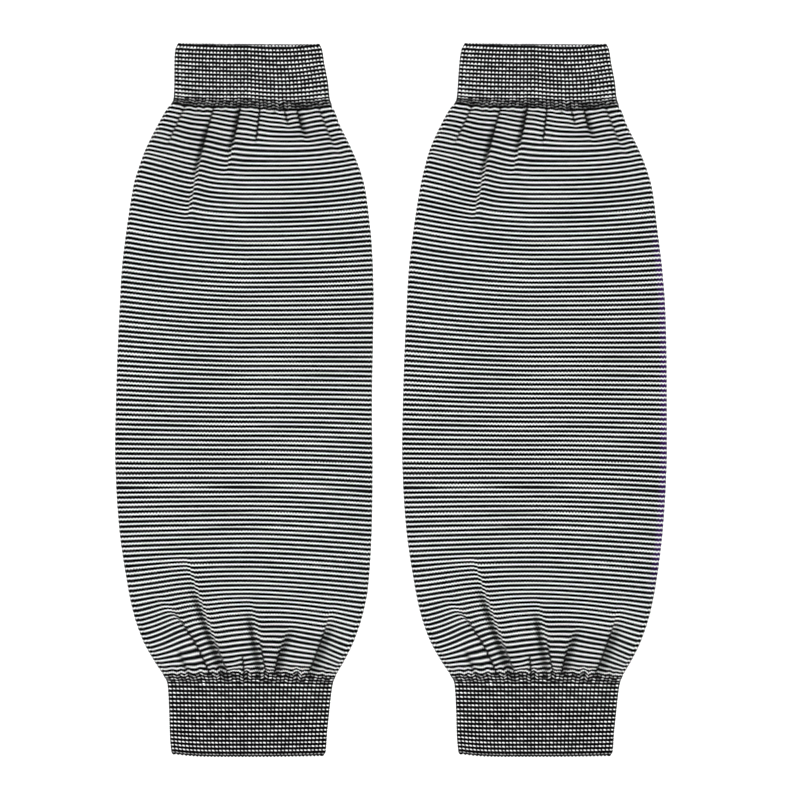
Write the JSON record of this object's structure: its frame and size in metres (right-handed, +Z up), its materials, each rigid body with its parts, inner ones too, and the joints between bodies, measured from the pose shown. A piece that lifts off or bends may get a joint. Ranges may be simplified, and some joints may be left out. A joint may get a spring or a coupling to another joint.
{
  "type": "pair of compression sleeves",
  "caption": "Matching knitted arm sleeves laid flat: wide striped tubes gathered into ribbed elastic cuffs at both ends.",
  "frame": {"origin": "on the surface that the sleeves lie on, midway between the two sleeves and midway between mouths and hems", "axes": "+X across the pair, +Y along the sleeves from the lower cuffs to the upper cuffs, +Z up from the surface"},
  "size_m": [0.2949, 0.3808, 0.0092],
  "materials": {
    "striped_jersey": "matt jersey knit in single courses of black and white yarn",
    "rib_knit": "matt elastic rib knit, black rows with rows of white stitches"
  },
  "bodies": {
    "root": {"left_body": "striped_jersey", "left_upper_cuff": "rib_knit", "left_lower_cuff": "rib_knit", "right_body": "striped_jersey", "right_upper_cuff": "rib_knit", "right_lower_cuff": "rib_knit"}
  },
  "joints": []
}
